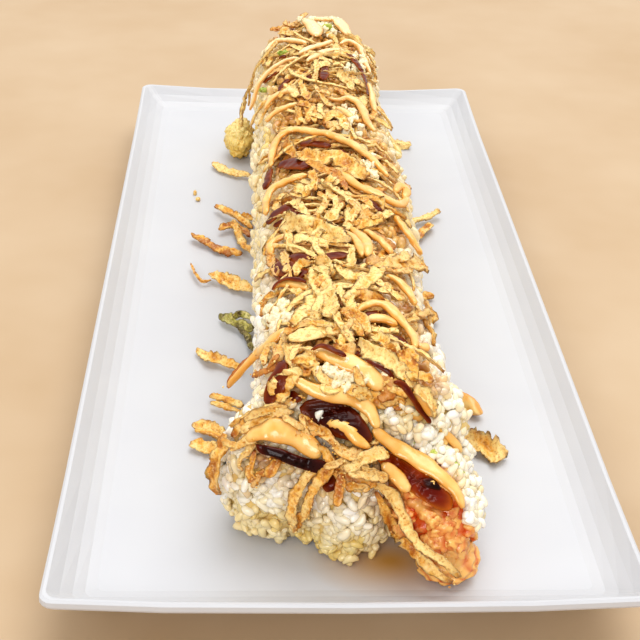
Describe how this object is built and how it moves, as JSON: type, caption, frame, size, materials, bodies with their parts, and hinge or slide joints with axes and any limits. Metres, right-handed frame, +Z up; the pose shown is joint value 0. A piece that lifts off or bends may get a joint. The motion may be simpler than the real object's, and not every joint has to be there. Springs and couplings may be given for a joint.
{
  "type": "sliced sushi roll on a plate",
  "caption": "Sliced rice-outside sushi roll with a battered prawn, fried crisps, spicy mayonnaise and dark sauce, served on a long white rectangular plate.",
  "frame": {"origin": "on the table under the middle of the plate", "axes": "+X across the plate to the right, +Y along the plate away from the prawn's tail, +Z up"},
  "size_m": [0.114, 0.264, 0.051],
  "materials": {
    "porcelain": "glossy white glaze",
    "rice": "moist cooked grains",
    "prawn": "oily batter",
    "nori": "matt seaweed sheet",
    "crisp": "rough, fried",
    "batter": "rough, fried",
    "mayonnaise": "smooth and glossy"
  },
  "bodies": {
    "root": {"plate": "porcelain", "slice_1": "rice", "slice_2": "rice", "slice_3": "rice", "slice_4": "rice", "slice_5": "rice", "slice_6": "rice", "slice_7": "rice", "slice_8": "rice", "prawn_in_batter": "prawn", "nori_sheet": "nori", "fallen_crisp_left_1": "crisp", "fallen_crisp_left_2": "crisp", "fallen_crisp_left_3": "crisp", "fallen_crisp_left_4": "crisp", "fallen_crisp_left_5": "crisp", "fallen_crisp_left_6": "crisp", "fallen_crisp_left_7": "crisp", "fallen_crisp_left_8": "crisp", "fallen_crisp_left_9": "crisp", "fallen_crisp_right_1": "crisp", "fallen_crisp_right_2": "crisp", "fallen_crisp_right_3": "crisp", "fallen_crisp_right_4": "crisp", "fallen_crisp_right_5": "crisp", "fallen_crisp_right_6": "crisp", "fallen_batter_lump": "batter", "fallen_mayonnaise_blob": "mayonnaise"}
  },
  "joints": []
}
